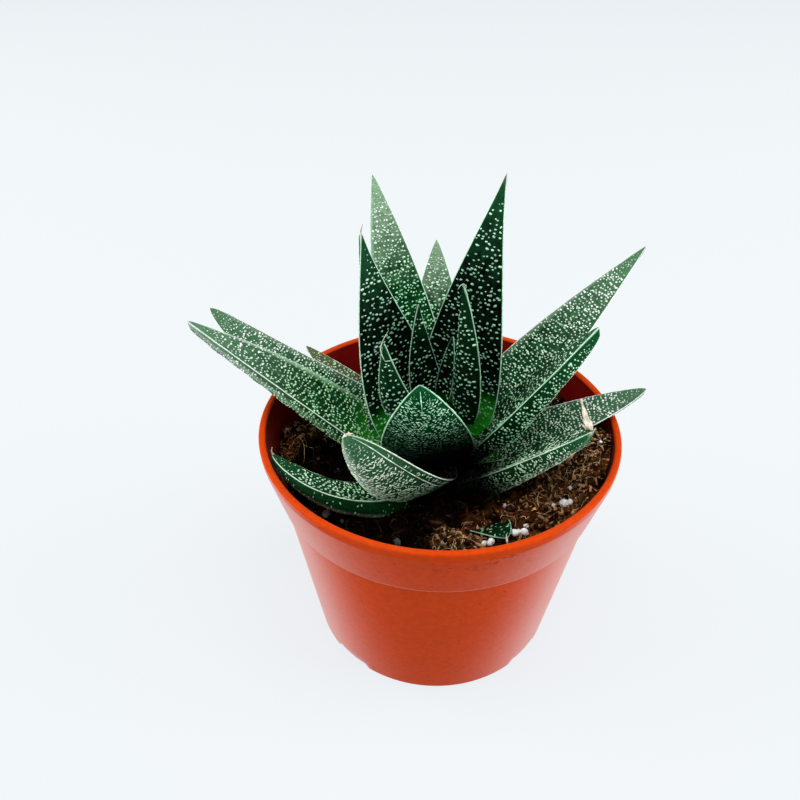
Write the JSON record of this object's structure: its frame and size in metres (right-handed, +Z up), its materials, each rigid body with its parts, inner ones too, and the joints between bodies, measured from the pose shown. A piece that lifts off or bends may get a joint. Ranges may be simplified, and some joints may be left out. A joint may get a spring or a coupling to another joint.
{
  "type": "potted gasteraloe",
  "caption": "Potted succulent: a rosette of thick, keeled, pointed leaves with raised white tubercles, growing from dark soil in a round tapered plastic nursery pot.",
  "frame": {"origin": "centre of the pot's flat underside", "axes": "+Z up along the pot's axis, +Y away from the front, +X to the right as seen from the front"},
  "size_m": [0.1318, 0.105, 0.144],
  "materials": {
    "pot": "satin terracotta-orange polypropylene",
    "soil": "dark peat with coir fibres and perlite grains",
    "crown": "matt green plant tissue",
    "leaf": "dark green waxy skin with pale raised tubercles"
  },
  "bodies": {
    "root": {"pot": "pot", "soil": "soil", "crown": "crown", "leaf_young_spear": "leaf", "leaf_young_left": "leaf", "leaf_young_right": "leaf", "leaf_young_front": "leaf", "leaf_tall_right": "leaf", "leaf_tall_left": "leaf", "leaf_tall_side": "leaf", "leaf_front": "leaf", "leaf_back": "leaf", "leaf_back_mid_left": "leaf", "leaf_back_mid_right": "leaf", "leaf_right_upper": "leaf", "leaf_right_keeled": "leaf", "leaf_left_upper": "leaf", "leaf_left_long": "leaf", "leaf_front_left": "leaf", "leaf_front_right": "leaf", "leaf_right_lower": "leaf", "leaf_back_left": "leaf", "leaf_back_low_left": "leaf", "leaf_back_low_right": "leaf", "leaf_left_low": "leaf", "leaf_soil_tip": "leaf"}
  },
  "joints": []
}
